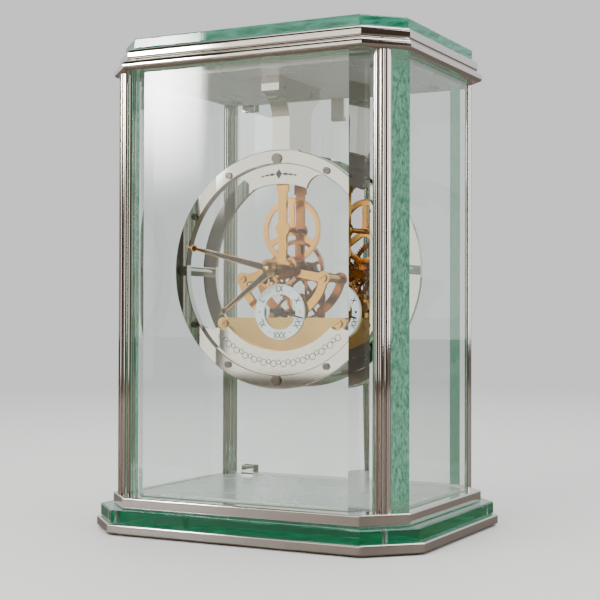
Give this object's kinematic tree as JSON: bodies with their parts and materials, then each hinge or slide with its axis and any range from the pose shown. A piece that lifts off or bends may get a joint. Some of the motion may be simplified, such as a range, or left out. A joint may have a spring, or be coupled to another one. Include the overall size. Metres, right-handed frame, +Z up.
{
  "type": "mantel clock",
  "caption": "Glass-cased skeleton mantel clock: chrome columns, green-edged glass slabs, hinged back door, hanging open dial ring and gilt going train.",
  "frame": {"origin": "middle of the footprint, on the surface the clock stands on", "axes": "+Z up, dial faces -Y, +X to the right of someone reading the dial"},
  "size_m": [0.22, 0.176, 0.3],
  "materials": {
    "polished_metal": "polished nickel-chrome plate",
    "liner_metal": "polished, softly reflecting",
    "slab_glass": "polished, green at its edges",
    "panel_glass": "clear, polished, bevelled edges",
    "steel": "plain steel",
    "gilt_brass": "polished gilt",
    "dark_enamel": "gloss",
    "white_dial": "satin white with printed numerals",
    "coil_copper": "enamelled copper wire",
    "board": "satin",
    "black_plastic": "satin",
    "cell_jacket": "plain jacket, no marks",
    "pad_rubber": "matte"
  },
  "bodies": {
    "case": {"foot_pads": "pad_rubber", "plinth_plate": "polished_metal", "base_frame": "polished_metal", "column_front_left": "polished_metal", "column_front_right": "polished_metal", "column_back_left": "polished_metal", "column_back_right": "polished_metal", "cornice_lower": "polished_metal", "cornice_upper": "polished_metal", "hanger_bracket": "polished_metal", "dial_plate": "polished_metal", "dial_ring": "polished_metal", "rear_ring": "polished_metal", "dial_pillars": "polished_metal", "dial_screws_small": "polished_metal", "dial_screws_large": "polished_metal", "hanger_set_screws": "polished_metal", "ceiling_screws": "polished_metal", "floor_plate": "liner_metal", "ceiling_plate": "liner_metal", "base_glass_slab": "slab_glass", "top_glass_slab": "slab_glass", "front_glass": "panel_glass", "left_glass": "panel_glass", "right_glass": "panel_glass", "tie_rods": "steel", "hanger_studs": "steel", "door_catch": "steel", "stator": "steel", "bottom_plate": "gilt_brass", "front_bridge": "gilt_brass", "rear_bridge": "gilt_brass", "movement_pillars": "gilt_brass", "bridge_screws": "gilt_brass", "centre_tube": "gilt_brass", "seconds_dial": "white_dial", "drive_coil": "coil_copper", "circuit_board": "board", "battery_holder": "black_plastic", "battery_cell": "cell_jacket", "battery_contacts": "steel"},
    "back_door": {"back_door_glass": "panel_glass", "door_pivot_clamps": "polished_metal", "door_knob": "polished_metal"},
    "seconds_train": {"seconds_wheel": "gilt_brass", "seconds_hand": "dark_enamel"},
    "third_train": {"third_wheel": "gilt_brass"},
    "centre_train": {"centre_wheel": "gilt_brass"},
    "display_train": {"display_wheel": "gilt_brass"},
    "intermediate_train": {"intermediate_wheel": "gilt_brass"},
    "rotor_train": {"rotor": "steel"},
    "minute_work": {"minute_arbor": "steel", "minute_hand": "gilt_brass", "minute_hand_inlay": "dark_enamel", "hand_boss": "gilt_brass", "setting_knob": "black_plastic"},
    "hour_work": {"hour_wheel": "gilt_brass", "hour_hand": "gilt_brass", "hour_hand_inlay": "dark_enamel"},
    "minute_wheel_work": {"minute_wheel": "gilt_brass"}
  },
  "joints": [
    {"name": "back_door_hinge", "type": "hinge", "parent": "case", "child": "back_door", "pos_m": [-0.07, 0.0675, 0.151], "axis": [0, 0, 1], "range_deg": [0, 95]},
    {"name": "seconds_spin", "type": "hinge", "parent": "case", "child": "seconds_train", "pos_m": [0, 0, 0.134], "axis": [0, 1, 0], "continuous": true},
    {"name": "third_spin", "type": "hinge", "parent": "case", "child": "third_train", "pos_m": [0.0127, 0, 0.14253], "axis": [0, 1, 0], "continuous": true},
    {"name": "centre_spin", "type": "hinge", "parent": "case", "child": "centre_train", "pos_m": [0, 0, 0.16], "axis": [0, 1, 0], "continuous": true},
    {"name": "display_spin", "type": "hinge", "parent": "case", "child": "display_train", "pos_m": [0, 0, 0.185], "axis": [0, 1, 0], "continuous": true},
    {"name": "intermediate_spin", "type": "hinge", "parent": "case", "child": "intermediate_train", "pos_m": [-0.01096, 0, 0.12912], "axis": [0, 1, 0], "continuous": true},
    {"name": "rotor_spin", "type": "hinge", "parent": "case", "child": "rotor_train", "pos_m": [-0.0169, 0, 0.12318], "axis": [0, 1, 0], "continuous": true},
    {"name": "minute_hand_spin", "type": "hinge", "parent": "case", "child": "minute_work", "pos_m": [0, 0, 0.16], "axis": [0, 1, 0], "continuous": true},
    {"name": "hour_hand_spin", "type": "hinge", "parent": "case", "child": "hour_work", "pos_m": [0, 0, 0.16], "axis": [0, 1, 0], "continuous": true},
    {"name": "minute_wheel_spin", "type": "hinge", "parent": "case", "child": "minute_wheel_work", "pos_m": [-0.01178, 0, 0.15769], "axis": [0, 1, 0], "continuous": true}
  ],
  "couplings": [
    {"joint": "third_spin", "follows": "seconds_spin", "ratio": -0.13333},
    {"joint": "centre_spin", "follows": "seconds_spin", "ratio": 0.016667},
    {"joint": "display_spin", "follows": "seconds_spin", "ratio": -0.0041667},
    {"joint": "intermediate_spin", "follows": "seconds_spin", "ratio": -5},
    {"joint": "rotor_spin", "follows": "seconds_spin", "ratio": 30},
    {"joint": "minute_wheel_spin", "follows": "minute_hand_spin", "ratio": -0.33333},
    {"joint": "hour_hand_spin", "follows": "minute_hand_spin", "ratio": 0.083333}
  ]
}
